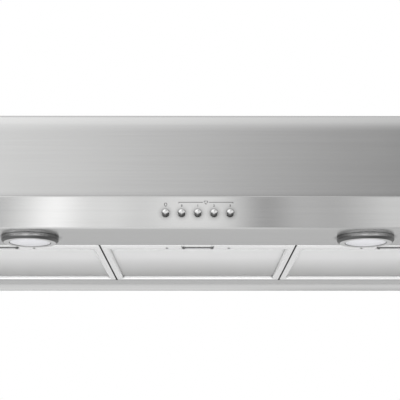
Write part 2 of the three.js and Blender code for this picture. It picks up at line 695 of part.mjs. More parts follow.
const addScroll = () => {
  const path = scrollPath();
  const outside = offsetPath(path, -SHEET);
  const inner = PLATE_X - INSET;
  addPart('blower_scroll', alongX(sheetShape(path, -SHEET), [-inner, inner]), FINISH.zinc);

  [['left', -1], ['right', 1]].forEach(([name, side]) => {
    const faces = span(side * (PLATE_X - SHEET), side * PLATE_X);
    const plate = alongX(new THREE.Shape(outside), faces);
    const flange = box(
      span(side * (PLATE_X - SHEET), side * (PLATE_X + PLATE_WING)),
      [DUCT_Y - DUCT_DEPTH / 2, DUCT_Y + DUCT_DEPTH / 2],
      [TOP - INSET - SHEET, TOP - INSET],
    );
    const inlet = rodX(INLET_RADIUS, [faces[0] - 1, faces[1] + 1], AXLE_Y, AXLE_Z, 40);
    const screwHoles = BLOWER_SCREWS.filter(([x]) => Math.sign(x) === side)
      .map(([x, y]) => rodZ(SCREW_HOLE, x, y, THROUGH_TOP, 12));
    addPart(`blower_plate_${name}`, solid([plate, flange], [inlet, ...screwHoles]), FINISH.zinc);
  });

  BLOWER_SCREWS.forEach(([x, y], i) => {
    const underside = TOP - INSET - SHEET - SEAT;
    const shank = rodZ(SCREW_RADIUS, x, y, [underside - 1, TOP - GAP], 12);
    const head = rodZ(SCREW_HEAD_RADIUS, x, y, [underside - SCREW_HEAD_HEIGHT, underside], 12);
    addPart(`blower_screw_${i + 1}`, solid([shank, head]), FINISH.zinc);
  });
};

// Turns a piece drawn about the X axis by an angle and sets it on the axle
const onAxle = (geometry, angle = 0) => geometry.rotateX(angle).translate(0, AXLE_Y, AXLE_Z);

const addWheel = () => {
  const length = [-WHEEL_HALF_LENGTH, WHEEL_HALF_LENGTH];
  const bladeMiddle = WHEEL_RADIUS - BLADE_DEPTH / 2 - 0.5;
  const blades = Array.from({ length: BLADE_COUNT }, (_, i) => {
    const blade = box(
      length,
      [-BLADE_DEPTH / 2, BLADE_DEPTH / 2],
      [-BLADE_THICKNESS / 2, BLADE_THICKNESS / 2],
    ).rotateX(BLADE_TILT).translate(0, bladeMiddle, 0);
    return onAxle(blade, (2 * Math.PI * i) / BLADE_COUNT);
  });
  const rings = [-1, 1].map((side) => {
    const ends = span(side * WHEEL_HALF_LENGTH, side * (WHEEL_HALF_LENGTH - 4));
    return solid(
      [rodX(WHEEL_RADIUS, ends, AXLE_Y, AXLE_Z)],
      [rodX(WHEEL_RADIUS - BLADE_DEPTH, [ends[0] - 1, ends[1] + 1], AXLE_Y, AXLE_Z)],
    );
  });
  const disc = rodX(WHEEL_RADIUS - 2, [-SHEET, SHEET], AXLE_Y, AXLE_Z);
  const hub = rodX(HUB_RADIUS, [-HUB_RADIUS, HUB_RADIUS], AXLE_Y, AXLE_Z, 24);
  const bore = rodX(SHAFT_RADIUS + GAP, [-20, 20], AXLE_Y, AXLE_Z, 20);
  addPart('blower_wheel', solid([disc, hub, ...rings, ...blades], [bore]), FINISH.zinc);
  addPart('motor_shaft', rodX(SHAFT_RADIUS, [-204, 16], AXLE_Y, AXLE_Z, 20), FINISH.castAluminium);
};

const addMotor = () => {
  const body = rodX(MOTOR_RADIUS, [MOTOR_REAR, MOTOR_FRONT], AXLE_Y, AXLE_Z);
  const bells = rodX(MOTOR_RADIUS - 9, [MOTOR_REAR - 8, MOTOR_FRONT + 8], AXLE_Y, AXLE_Z);
  const bore = rodX(SHAFT_RADIUS + 0.8, [-206, MOTOR_FRONT + 9], AXLE_Y, AXLE_Z, 20);
  addPart('motor', solid([body, bells], [bore]), FINISH.castAluminium);

  const ring = rodX(MOTOR_RADIUS + 3, STRAP, AXLE_Y, AXLE_Z);
  const ringHole = rodX(MOTOR_RADIUS + GAP, [STRAP[0] - 1, STRAP[1] + 1], AXLE_Y, AXLE_Z);
  const arms = [0, 1, 2].flatMap((i) => {
    const angle = Math.PI / 2 + (2 * Math.PI * i) / 3;
    const halfArm = 6;
    const spoke = box(STRAP, [MOTOR_RADIUS + 1.5, STRAP_REACH], [-halfArm, halfArm]);
    const bar = box([STRAP[0], -PLATE_X - GAP], [STRAP_REACH - 3, STRAP_REACH], [-halfArm, halfArm]);
    return [onAxle(spoke, angle), onAxle(bar, angle)];
  });
  addPart('motor_bracket', solid([ring, ...arms], [ringHole]), FINISH.zinc);
};

// ---- Wiring ----
const addWiring = () => {
  const halves = [BOX_HALF_WIDTH, BOX_HALF_DEPTH];
  const [xs, ys] = [GLAND_X, GLAND_Y].map((centre, i) => [centre - halves[i], centre + halves[i]]);
  const ceiling = TOP - INSET;
  const shell = box(xs, ys, [BOX_FLOOR, ceiling]);
  const hollow = box(
    [xs[0] + SHEET, xs[1] - SHEET],
    [ys[0] + SHEET, ys[1] - SHEET],
    [BOX_FLOOR - 1, ceiling - SHEET],
  );
  const tabs = [
    box([xs[0] + 1, xs[0] + 12], [GLAND_Y - 6, GLAND_Y + 6], [BOX_FLOOR, BOX_FLOOR + SHEET]),
    box([xs[1] - 12, xs[1] - 1], [GLAND_Y - 6, GLAND_Y + 6], [BOX_FLOOR, BOX_FLOOR + SHEET]),
  ];
  const screwXs = [xs[0] + 7, xs[1] - 7];
  const throughFloor = [BOX_FLOOR - REACH, BOX_FLOOR + REACH];
  const screwHoles = screwXs.map((x) => rodZ(SCREW_HOLE, x, GLAND_Y, throughFloor, 12));
  const cableHole = rodZ(GLAND_HOLE, GLAND_X, GLAND_Y, THROUGH_TOP);
  const hollowed = solid([shell], [hollow]);
  addPart('wiring_box', solid([hollowed, ...tabs], [cableHole, ...screwHoles]), FINISH.zinc);

  const cover = box(xs, ys, [BOX_FLOOR - INSET, BOX_FLOOR - GAP]);
  addPart('wiring_box_cover', solid([cover], screwHoles), FINISH.zinc);
  screwXs.forEach((x, i) => {
    const headTop = BOX_FLOOR - INSET - SEAT;
    const shank = rodZ(SCREW_RADIUS, x, GLAND_Y, [headTop - 1, BOX_FLOOR + 4], 12);
    const head = rodZ(SCREW_HEAD_RADIUS, x, GLAND_Y, [headTop - SCREW_HEAD_HEIGHT, headTop], 12);
    addPart(`wiring_cover_screw_${i + 1}`, solid([shank, head]), FINISH.zinc);
  });

  addPart('cable_gland', turned([
    [6, -10],
    [10.8, -10],
    [10.8, TOP + SEAT],
    [16, TOP + SEAT],
    [16, TOP + 5],
    [12, TOP + 6],
    [12, TOP + 13],
    [10, TOP + 15],
    [6, TOP + 15],
    [6, -10],
  ], GLAND_X, GLAND_Y, 20), FINISH.blackPlastic);

  const nutTop = ceiling - SHEET - SEAT;
  addPart('gland_locknut', turned([
    [11.2, nutTop - 4.5],
    [16, nutTop - 4.5],
    [16, nutTop],
    [11.2, nutTop],
    [11.2, nutTop - 4.5],
  ], GLAND_X, GLAND_Y, 24), FINISH.blackPlastic);
};

// Run capacitor in its clip under the top panel
const addCapacitor = () => {
  const [x0, x1] = [-360, -300];
  const y = 60;
  const z = -26;
  const radius = 17;
  addPart('capacitor', rodX(radius, [x0, x1], y, z), FINISH.blackPlastic);
  const middle = (x0 + x1) / 2;
  const band = [middle - 6, middle + 6];
  const ring = rodX(radius + INSET, band, y, z);
  const foot = box(band, [y - 4, y + 22], [TOP - INSET - SHEET, TOP - INSET]);
  const stem = box(band, [y - 4, y + 4], [z + radius, TOP - INSET]);
  const hole = rodX(radius + GAP, [band[0] - 1, band[1] + 1], y, z);
  addPart('capacitor_clip', solid([ring, foot, stem], [hole]), FINISH.zinc);
};

// ---- Assembly ----
addFrontPanel();
addSidePanel('side_panel_left', -1);
addSidePanel('side_panel_right', 1);
addTopPanel();
addBackPanel();
addRearRail();
addFilterRail('filter_rail_left', -FILTER_PITCH / 2);
addFilterRail('filter_rail_right', FILTER_PITCH / 2);
['left', 'centre', 'right'].forEach((name, i) => {
  const x = (i - 1) * FILTER_PITCH;
  addFilterFrame(`filter_frame_${name}`, x);
  addFilterMesh(`filter_mesh_${name}`, x);
  addFilterLatch(`filter_latch_${name}`, x);
});
addLamp('left', -LAMP_X);
addLamp('right', LAMP_X);
addSwitches();
addDuctCollar();
addScroll();
addWheel();
addMotor();
addWiring();
addCapacitor();

export default hood;
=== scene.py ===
"""Looks of the under-cabinet range hood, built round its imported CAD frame. Metres, front at -Y."""
import json
import math

import bmesh
import bpy
from mathutils import Matrix, Vector


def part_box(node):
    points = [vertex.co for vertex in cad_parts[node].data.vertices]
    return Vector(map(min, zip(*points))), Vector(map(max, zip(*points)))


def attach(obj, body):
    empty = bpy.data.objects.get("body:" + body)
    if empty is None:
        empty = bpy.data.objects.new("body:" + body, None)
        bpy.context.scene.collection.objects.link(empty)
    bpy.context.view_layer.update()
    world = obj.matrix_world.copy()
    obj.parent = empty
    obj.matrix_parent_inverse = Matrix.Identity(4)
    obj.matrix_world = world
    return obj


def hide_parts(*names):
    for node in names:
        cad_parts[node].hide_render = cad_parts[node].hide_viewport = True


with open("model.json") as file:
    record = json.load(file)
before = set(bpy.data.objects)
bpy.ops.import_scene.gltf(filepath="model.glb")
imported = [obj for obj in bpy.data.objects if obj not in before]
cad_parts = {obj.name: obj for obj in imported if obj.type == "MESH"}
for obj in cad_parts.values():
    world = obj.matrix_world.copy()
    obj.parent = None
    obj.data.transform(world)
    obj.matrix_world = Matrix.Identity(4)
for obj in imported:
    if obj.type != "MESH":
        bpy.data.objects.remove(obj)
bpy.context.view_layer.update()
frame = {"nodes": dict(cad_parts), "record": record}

MM = 0.001
SHEET = 1.2 * MM              # thickness of the folded steel
GAP = 0.4 * MM                # clearance between neighbouring parts
DOME_STEPS = 14               # straight pieces in a dome's outline

# ---- Where the CAD parts lie ----
panel_low, panel_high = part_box("front_panel")
LEFT, FRONT, UNDER = panel_low
RIGHT, STRIP_END, TOP = panel_high
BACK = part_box("back_panel")[1].y
LIP_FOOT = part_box("back_panel")[0].z
BUTTONS = [f"button_{i}" for i in range(1, 6)]
SIDES = ("left", "right")
FILTERS = ("left", "centre", "right")


def middle(node):
    low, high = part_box(node)
    return (Vector(low) + Vector(high)) / 2


# ---- Shader graphs ----
class Graph:
    """A node tree being filled: node() adds one, with its inputs set or joined."""

    def __init__(self, tree):
        self.tree = tree
        tree.nodes.clear()

    def node(self, kind, inputs=None, **settings):
        node = self.tree.nodes.new(kind)
        for name, value in settings.items():
            setattr(node, name, value)
        for socket, value in (inputs or {}).items():
            if isinstance(value, bpy.types.NodeSocket):
                self.tree.links.new(value, node.inputs[socket])
            else:
                node.inputs[socket].default_value = value
        return node

    def math(self, operation, first, second=0.0, third=0.0):
        inputs = {0: first, 1: second, 2: third}
        return self.node("ShaderNodeMath", inputs, operation=operation).outputs[0]

    def spread(self, value, low, high, out_low, out_high, smooth=False):
        """value from low..high mapped onto out_low..out_high, and held at the ends."""
        inputs = {0: value, 1: low, 2: high, 3: out_low, 4: out_high}
        kind = "SMOOTHSTEP" if smooth else "LINEAR"
        return self.node("ShaderNodeMapRange", inputs, interpolation_type=kind).outputs[0]

    def blend(self, factor, first, second):
        inputs = {0: factor, 2: first, 3: second}
        return self.node("ShaderNodeMix", inputs, data_type="FLOAT").outputs[0]

    def tint(self, factor, first, second):
        """A mix of two colours, each a socket or three numbers."""
        first, second = (
            colour if isinstance(colour, bpy.types.NodeSocket) else (*colour, 1)
            for colour in (first, second)
        )
        inputs = {0: factor, 6: first, 7: second}
        return self.node("ShaderNodeMix", inputs, data_type="RGBA").outputs[2]

    def noise(self, scale, detail=2.0, roughness=0.5):
        """Noise over the object's own metres; scale is one number or one for each axis."""
        place = self.node("ShaderNodeTexCoord").outputs["Object"]
        if isinstance(scale, tuple):
            place = self.node("ShaderNodeMapping", {"Vector": place, "Scale": scale}).outputs[0]
            scale = 1.0
        inputs = {"Vector": place, "Scale": scale, "Detail": detail, "Roughness": roughness}
        return self.node("ShaderNodeTexNoise", inputs).outputs[0]

    def bump(self, height, distance, strength=1.0):
        inputs = {"Height": height, "Distance": distance, "Strength": strength}
        return self.node("ShaderNodeBump", inputs).outputs[0]

    def edge_wear_and_highlight(self, radius):
        """1 on an outside or inside edge, fading to 0 a radius away from it."""
        # Lightening by this mask is partly wear, partly a painted highlight along the edges.
        rounded = self.node("ShaderNodeBevel", {"Radius": radius}, samples=4).outputs[0]
        flat = self.node("ShaderNodeNewGeometry").outputs["Normal"]
        same = self.node("ShaderNodeVectorMath", {0: rounded, 1: flat}, operation="DOT_PRODUCT")
        return self.spread(same.outputs["Value"], 0.99, 0.8, 0.0, 1.0)

    def painted_crease_shade(self, reach):
        """1 deep in an inside corner, 0 on open faces: the mask of painted shade in corners."""
        open_sky = self.node("ShaderNodeAmbientOcclusion", {"Distance": reach}, samples=8)
        return self.spread(open_sky.outputs["AO"], 0.95, 0.55, 0.0, 1.0)

    def surface(self, inputs):
        shader = self.node("ShaderNodeBsdfPrincipled", inputs)
        self.node("ShaderNodeOutputMaterial", {"Surface": shader.outputs[0]})
        return shader


def new_material(name):
    material = bpy.data.materials.new(name)
    material.use_nodes = True
    return material, Graph(material.node_tree)


def grey(level):
    return (level,) * 3


AXES = {"X": (1, 0, 0), "Y": (0, 1, 0), "Z": (0, 0, 1)}


def brushed_steel(name, grain, light=0.62, dark=0.53, roughness=0.12):
    """Stainless steel with fine scratches along one axis, which draw reflections out across it."""
    material, graph = new_material(name)
    along = 6.0               # noise scales, along the scratches and across them
    broad = 260.0
    fine = 2600.0
    lines = graph.noise(tuple(along if axis == grain else fine for axis in "XYZ"), 3.0)
    bands = graph.noise(tuple(along / 3 if axis == grain else broad for axis in "XYZ"), 2.0)
    haze = graph.noise(9.0, 3.0)
    edges = graph.edge_wear_and_highlight(0.8 * MM)
    shade = graph.math("MULTIPLY_ADD", lines, 0.6, graph.math("MULTIPLY", bands, 0.4))
    colour = graph.tint(shade, (dark, dark, dark * 0.995), (light, light, light * 0.995))
    # Edges lightened towards pale grey: partly wear, partly a painted highlight along them.
    worn_and_highlit = graph.tint(edges, colour, grey(0.74))
    # Inside corners darkened towards near black: painted shade.
    crease_shaded = graph.tint(graph.painted_crease_shade(7 * MM), worn_and_highlit, grey(0.18))
    hazy = graph.spread(haze, 0.3, 0.7, -0.01, 0.02)
    scratched = graph.spread(lines, 0.2, 0.8, -0.01, 0.02)
    rough = graph.math("ADD", hazy, scratched)
    normal = graph.node("ShaderNodeNewGeometry").outputs["Normal"]
    crossing = graph.node("ShaderNodeVectorMath", {0: normal, 1: AXES[grain]}, operation="CROSS_PRODUCT")
    graph.surface({
        "Base Color": crease_shaded,
        "Metallic": 1.0,
        "Roughness": graph.math("ADD", rough, roughness),
        "Anisotropic": 1.0,
        "Tangent": crossing.outputs[0],
        "Normal": graph.bump(lines, 0.02 * MM, 0.35),
    })
    return material


def galvanised(name, light=0.56, dark=0.42):
    """Zinc-coated sheet with its crystal spangle."""
    material, graph = new_material(name)
    place = graph.node("ShaderNodeTexCoord").outputs["Object"]
    spangle = graph.node("ShaderNodeTexVoronoi", {"Vector": place, "Scale": 110.0}).outputs["Color"]
    tone = graph.node("ShaderNodeSeparateColor", {0: spangle}).outputs[0]
    haze = graph.noise(14.0, 4.0)
    shade = graph.math("MULTIPLY_ADD", tone, 0.6, graph.math("MULTIPLY", haze, 0.4))
    colour = graph.tint(shade, (dark, dark * 1.01, dark * 1.03), (light, light * 1.01, light * 1.02))
    graph.surface({
        "Base Color": colour,
        "Metallic": 0.9,
        "Roughness": graph.spread(tone, 0.0, 1.0, 0.38, 0.58),
        "Normal": graph.bump(graph.noise(700.0, 2.0), 0.03 * MM, 0.3),
    })
    return material


def chrome(name, tone=0.62):
    """Polished plating with a breath of smears."""
    material, graph = new_material(name)
    smears = graph.noise((120.0, 300.0, 120.0), 4.0)
    haze = graph.noise(60.0, 3.0)
    edges = graph.edge_wear_and_highlight(0.3 * MM)
    # Edges lightened: partly wear, partly a painted highlight along them.
    colour = graph.tint(edges, (tone, tone, tone * 1.01), (0.85, 0.85, 0.85))
    graph.surface({
        "Base Color": colour,
        "Metallic": 1.0,
        "Roughness": graph.math("MULTIPLY_ADD", smears, 0.12, graph.spread(haze, 0.3, 0.7, 0.03, 0.09)),
        "Normal": graph.bump(smears, 0.01 * MM, 0.2),
    })
    return material


def chrome_with_painted_shade(name, tone, painted_shade_tone, painted_down_face_tone):
    """Plating rougher where it faces down, with painted shade where it slopes down or aside, and a painted
    tone of its own on faces that look straight down.
    """
    material, graph = new_material(name)
    smears = graph.noise((120.0, 300.0, 120.0), 4.0)
    edges = graph.edge_wear_and_highlight(0.3 * MM)
    normal = graph.node("ShaderNodeNewGeometry").outputs["Normal"]
    across, _, upward = graph.node("ShaderNodeSeparateXYZ", {0: normal}).outputs
    sideways = graph.math("MULTIPLY", graph.math("ABSOLUTE", across), 0.6)
    turned_away = graph.math("SUBTRACT", sideways, upward)
    shade = graph.spread(turned_away, 0.20, 0.65, 0.0, 1.0, smooth=True)
    # Faces that slope down or aside take the darker tone: painted shade.
    painted_slope_shade = graph.tint(shade, grey(tone), grey(painted_shade_tone))
    level = graph.spread(upward, -0.93, -0.985, 0.0, 1.0)
    # Faces that look straight down take a painted tone of their own: a painted reflection on the bezel,
    # painted shade on the buttons.
    colour = graph.tint(level, painted_slope_shade, grey(painted_down_face_tone))
    graph.surface({
        # Edges go back to the plain tone: a painted highlight along them.
        "Base Color": graph.tint(edges, colour, grey(tone)),
        "Metallic": 1.0,
        "Roughness": graph.math("MULTIPLY_ADD", smears, 0.12, graph.spread(upward, 0.0, -0.5, 0.10, 0.30)),
        "Normal": graph.bump(smears, 0.01 * MM, 0.2),
    })
    return material


def rough_metal(name, light, dark, roughness, grain_scale, depth, metallic=1.0):
    """Cast, stamped or woven light metal: a fine even grain over slow shade changes."""
    material, graph = new_material(name)
    grain = graph.noise(grain_scale, 4.0, 0.6)
    slow = graph.noise(11.0, 3.0)
    edges = graph.edge_wear_and_highlight(0.5 * MM)
    shade = graph.math("MULTIPLY_ADD", grain, 0.5, graph.math("MULTIPLY", slow, 0.5))
    colour = graph.tint(shade, grey(dark), grey(light))
    # Edges lightened towards pale grey: partly wear, partly a painted highlight along them.
    worn_and_highlit = graph.tint(edges, colour, grey(0.8))
    graph.surface({
        # Inside corners darkened: painted shade.
        "Base Color": graph.tint(graph.painted_crease_shade(5 * MM), worn_and_highlit, grey(0.2)),
        "Metallic": metallic,
        "Roughness": graph.spread(grain, 0.2, 0.8, roughness - 0.06, roughness + 0.06),
        "Normal": graph.bump(grain, depth, 0.5),
    })
    return material


def filter_weave(name):
    """Light aluminium weave, with painted shade that deepens towards the wall."""
    material, graph = new_material(name)
    place = graph.node("ShaderNodeTexCoord").outputs["Object"]
    depth = graph.node("ShaderNodeSeparateXYZ", {0: place}).outputs[1]
    patches = graph.noise(6.0, 3.0)
    # Painted shade: the weave darkens from 290 to 500 mm behind the hood's front, with a blotchy boundary.
    wall_shade_depth = graph.math("MULTIPLY_ADD", patches, 0.03, depth)
    strength = graph.spread(wall_shade_depth, FRONT + 290 * MM, FRONT + 500 * MM, 0.0, 1.0)
    grain = graph.noise(1400.0, 4.0, 0.6)
    unshaded = graph.tint(grain, grey(0.81), grey(0.89))
    graph.surface({
        # Darkened towards the wall by the painted shade.
        "Base Color": graph.tint(strength, unshaded, (0.45, 0.45, 0.445)),
        "Metallic": 0.35,
        "Roughness": graph.spread(grain, 0.2, 0.8, 0.45, 0.6),
        "Normal": graph.bump(grain, 0.04 * MM, 0.5),
    })
    return material


def plastic(name, light, dark, roughness, grain_scale=1500.0):
    """Moulded plastic with a fine spark-eroded grain."""
    material, graph = new_material(name)
    grain = graph.noise(grain_scale, 2.0)
    slow = graph.noise(20.0, 2.0)
    graph.surface({
        "Base Color": graph.tint(slow, dark, light),
        "Roughness": graph.spread(grain, 0.2, 0.8, roughness - 0.08, roughness + 0.08),
        "Normal": graph.bump(grain, 0.05 * MM, 0.4),
    })
    return material


RING_PITCH = 4 * MM


def frosted_glass(name):
    """White satin glass, light passing through it softly, with fine rings pressed round its middle."""
    material, graph = new_material(name)
    sand = graph.noise(2500.0, 2.0)
    cloud = graph.noise(35.0, 2.0)
    point = graph.node("ShaderNodeTexCoord").outputs["Object"]
    x, y, _ = graph.node("ShaderNodeSeparateXYZ", {0: point}).outputs
    lens = middle("lamp_lens_right")
    off_x = graph.math("SUBTRACT", graph.math("ABSOLUTE", x), lens.x)
    off_y = graph.math("SUBTRACT", y, lens.y)
    square = graph.math("MULTIPLY_ADD", off_x, off_x, graph.math("MULTIPLY", off_y, off_y))
    radius = graph.math("SQRT", square)
    rings = graph.math("SINE", graph.math("MULTIPLY", radius, 2 * math.pi / RING_PITCH))
    ring_shade = graph.spread(rings, 0.2, 1.0, 0.0, 0.35)
    clear = graph.tint(cloud, (0.70, 0.70, 0.73), (0.77, 0.77, 0.79))
    graph.surface({
        "Base Color": graph.tint(ring_shade, clear, (0.5, 0.5, 0.54)),
        "Roughness": graph.spread(sand, 0.2, 0.8, 0.32, 0.48),
        "Transmission Weight": 0.25,
        "Normal": graph.bump(graph.math("MULTIPLY_ADD", sand, 0.1, rings), 0.2 * MM, 0.5),
    })
    return material


STEEL_X = brushed_steel("steel_brushed_along_x", "X")
STEEL_Y = brushed_steel("steel_brushed_along_y", "Y")
ZINC = galvanised("galvanised_sheet")
CHROME = chrome("chrome_plate")
FILTER_METAL = rough_metal("filter_frame_steel", 0.90, 0.84, 0.22, 900.0, 0.02 * MM, metallic=0.6)
FILTER_MESH = filter_weave("filter_mesh_aluminium")
CAST = rough_metal("cast_aluminium", 0.46, 0.34, 0.55, 500.0, 0.12 * MM)
CERAMIC = rough_metal("lamp_ceramic", 0.80, 0.70, 0.75, 600.0, 0.05 * MM, metallic=0.0)
LENS = frosted_glass("lamp_frosted_lens")
BULB = plastic("bulb_glass", (0.86, 0.86, 0.88), (0.78, 0.78, 0.80), 0.15, 300.0)
BLACK = plastic("black_plastic", (0.035, 0.035, 0.037), (0.02, 0.02, 0.022), 0.45)
RIVET = chrome("dark_rivet", 0.20)
# Bezel and buttons carry painted shade, and a painted tone on faces that look straight down.
BEZEL = chrome_with_painted_shade("lamp_bezel_nickel", 0.50, 0.10, 0.60)
BUTTON_CHROME = chrome_with_painted_shade("button_chrome", 0.80, 0.12, 0.12)
INK = plastic("printed_ink", grey(0.05), grey(0.03), 0.6)
BOARD = plastic("green_board", (0.05, 0.20, 0.08), (0.03, 0.13, 0.05), 0.35, 260.0)

SLOT_LOOKS = {
    "steel": STEEL_X,
    "filter": FILTER_METAL,
    "zinc": ZINC,
    "chrome": CHROME,
    "cast_aluminium": CAST,
    "lens": LENS,
    "bulb": BULB,
    "ceramic": CERAMIC,
    "black_plastic": BLACK,
    "board": BOARD,
}
# Nodes that don't take their slot's look
NODE_LOOKS = {"side_panel_left": STEEL_Y, "side_panel_right": STEEL_Y}


# ---- Mesh helpers ----
def soften(piece, angle=35):
    """Smooth shading that stays crisp over edges sharper than the angle."""
    mesh = piece.data
    mesh.shade_smooth()
    mesh.set_sharp_from_angle(angle=math.radians(angle))


def add_piece(name, bm, material, body, replaced=()):
    """A visual piece riding on a body, in place of the CAD nodes that it replaces."""
    mesh = bpy.data.meshes.new(name)
    bm.normal_update()
    bm.to_mesh(mesh)
    bm.free()
    piece = bpy.data.objects.new(name, mesh)
    bpy.context.scene.collection.objects.link(piece)
    mesh.materials.append(material)
    soften(piece)
    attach(piece, body)
    if replaced:
        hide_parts(*replaced)
    return piece


def apply_modifiers(piece):
    """Turns what the modifiers make into the piece's own mesh."""
    bpy.context.view_layer.update()
    graph = bpy.context.evaluated_depsgraph_get()
    mesh = bpy.data.meshes.new_from_object(piece.evaluated_get(graph))
    piece.modifiers.clear()
    piece.data = mesh


def rounded_path(corners, step=math.radians(5)):
    """Points of a path through corners (u, v, bend radius), with its bends as arcs."""
    points = []
    for i, (u, v, radius) in enumerate(corners):
        corner = Vector((u, v))
        if not radius:
            points.append(corner)
            continue
        back = (Vector(corners[i - 1][:2]) - corner).normalized()
        ahead = (Vector(corners[i + 1][:2]) - corner).normalized()
        half = back.angle(ahead) / 2
        centre = corner + (back + ahead).normalized() * radius / math.sin(half)
        start = corner + back * radius / math.tan(half) - centre
        turn = math.pi - 2 * half
        sense = 1 if ahead.x * back.y - ahead.y * back.x > 0 else -1
        steps = max(3, math.ceil(turn / step))
        for k in range(steps + 1):
            points.append(centre + Matrix.Rotation(sense * turn * k / steps, 2) @ start)
    return points


def rounded_profile(outline):
    """A turned part's outline of (radius, height, corner radius) in millimetres, as points in metres."""
    return [(p.x * MM, p.y * MM) for p in rounded_path(outline, math.radians(12))]


def offset_path(path, distance):
    """The same path moved to its left-hand side."""
    moved = []
    for i, point in enumerate(path):
        steps = []
        if i > 0:
            steps.append(point - path[i - 1])
        if i < len(path) - 1:
            steps.append(path[i + 1] - point)
        first, last = (Vector((-s.y, s.x)).normalized() for s in (steps[0], steps[-1]))
        moved.append(point + (first + last) * distance / (1 + first.dot(last)))
    return moved


def folded_sheet(path, thickness, x_from, x_to):
    """A sheet folded along a (y, z) path and drawn out along X."""
    outline = path + offset_path(path, thickness)[::-1]
    bm = bmesh.new()
    ends = [[bm.verts.new((x, p.x, p.y)) for p in outline] for x in (x_from, x_to)]
    count = len(outline)
    for i in range(count):
        j = (i + 1) % count
        bm.faces.new((ends[0][i], ends[0][j], ends[1][j], ends[1][i]))
    half = count // 2
    for verts in ends:
        for i in range(half - 1):
            bm.faces.new((verts[i], verts[i + 1], verts[count - 2 - i], verts[count - 1 - i]))
    bmesh.ops.recalc_face_normals(bm, faces=bm.faces)
    return bm


def lathe(profile, place, turn=Matrix(), sides=96):
    """A profile of (radius, height) points spun about an upright axis, then turned and put in place."""
    bm = bmesh.new()
    rings = []
    for radius, height in profile:
        if radius < 1e-6:
            rings.append([bm.verts.new((0, 0, height))])
            continue
        rings.append([
            bm.verts.new((radius * math.cos(a), radius * math.sin(a), height))
            for a in (2 * math.pi * k / sides for k in range(sides))
        ])
    for lower, upper in zip(rings, rings[1:]):
        for k in range(sides):
            j = (k + 1) % sides
            corners = [lower[k % len(lower)], lower[j % len(lower)]]
            corners += [upper[j % len(upper)], upper[k % len(upper)]]
            bm.faces.new(dict.fromkeys(corners))
    bmesh.ops.remove_doubles(bm, verts=bm.verts, dist=1e-6)
    bmesh.ops.recalc_face_normals(bm, faces=bm.faces)
    bm.transform(Matrix.Translation(place) @ turn.to_4x4())
    return bm


def rod_profile(radius, length):
    """A plain cylinder's profile for lathe(), standing on its end."""
    return [(0, 0), (radius, 0), (radius, length), (0, length)]


def rounded_rectangle(centre, half_width, half_depth, radius, steps=5):
    """Points (x, y) anticlockwise round a rectangle with rounded corners."""
    points = []
    for quarter, (side, end) in enumerate(((1, 1), (-1, 1), (-1, -1), (1, -1))):
        pivot = Vector((centre.x + side * (half_width - radius), centre.y + end * (half_depth - radius)))
        for k in range(steps + 1):
            a = math.pi / 2 * (quarter + k / steps)
            points.append(pivot + radius * Vector((math.cos(a), math.sin(a))))
    return points


def prism(outline, low, high, edge=0.0):
    """An outline of (x, y) points drawn out along Z, its edges rounded over by a small width."""
    bm = bmesh.new()
    bottom = [bm.verts.new((p.x, p.y, low)) for p in outline]
    top = [bm.verts.new((p.x, p.y, high)) for p in outline]
    count = len(outline)
    for k in range(count):
        j = (k + 1) % count
        bm.faces.new((bottom[k], bottom[j], top[j], top[k]))
    caps = [bm.faces.new(bottom[::-1]), bm.faces.new(top)]
    if edge:
        rims = [e for face in caps for e in face.edges]
        bmesh.ops.bevel(bm, geom=rims, offset=edge, segments=3, profile=0.5, affect="EDGES")
    bmesh.ops.recalc_face_normals(bm, faces=bm.faces)
    return bm


def join(first, *others):
    """Adds the other meshes to the first, as separate shells."""
    for other in others:
        mesh = bpy.data.meshes.new("joined")
        other.to_mesh(mesh)
        other.free()
        first.from_mesh(mesh)
        bpy.data.meshes.remove(mesh)
    return first


def cut_holes(piece, cutters):
    """Takes the cutter meshes out of the piece."""
    for cutter in cutters:
        mesh = bpy.data.meshes.new("cutter")
        cutter.to_mesh(mesh)
        cutter.free()
        tool = bpy.data.objects.new("cutter", mesh)
        bpy.context.scene.collection.objects.link(tool)
        cut = piece.modifiers.new("cut", "BOOLEAN")
        cut.object = tool
        cut.solver = "EXACT"
        apply_modifiers(piece)
        bpy.data.objects.remove(tool)
    soften(piece)


TO_RIGHT = Matrix.Rotation(math.pi / 2, 3, "Y")      # turns an upright axis to point along X
TO_FRONT = Matrix.Rotation(math.pi / 2, 3, "X")      # turns an upright axis to point out of the front


# ---- Casing ----
BAND = 45 * MM                # height of the upright control band
LEDGE = 3.2 * MM              # step back from the band to the upper panel
LEAN = 36 * MM                # from the band back to the top edge
ROLL_RADIUS = 45 * MM         # rolled corner at the top
BEND = 2 * MM
LOWER_BEND = 1.6 * MM         # between the band and the underside strip
INNER_BEND = 1.2 * MM         # between the ledge and the upper panel
TOP_FLANGE = 60 * MM
STRIP_FLANGE = 22 * MM        # upright, behind the underside strip
BUTTON_RADIUS = 5 * MM
LAMP_HOLE = 32 * MM           # radius
CUT = 10 * MM                 # height of the shapes that cut holes in the sheet


